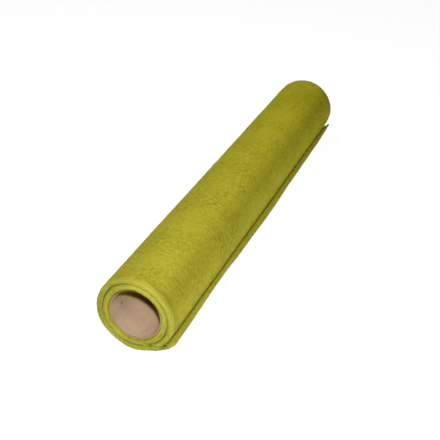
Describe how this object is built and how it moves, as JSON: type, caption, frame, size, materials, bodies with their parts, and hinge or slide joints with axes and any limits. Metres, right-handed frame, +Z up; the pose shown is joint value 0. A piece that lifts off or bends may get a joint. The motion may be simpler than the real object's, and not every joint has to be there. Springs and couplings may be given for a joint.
{
  "type": "roll of non-woven fabric",
  "caption": "Thick fleecy non-woven cloth wound in a short tight roll on an open cardboard tube, with a loose cut edge along its side.",
  "frame": {"origin": "middle of the narrow flat that the roll rests on, under its axis", "axes": "+Y along the roll's axis, +Z up, +X towards the side with the loose cut edge"},
  "size_m": [0.0653, 0.45, 0.0635],
  "materials": {
    "cardboard": "matt",
    "felt": "fuzzy needle felt, matt"
  },
  "bodies": {
    "root": {"cardboard_tube": "cardboard", "felt_cloth": "felt"}
  },
  "joints": []
}
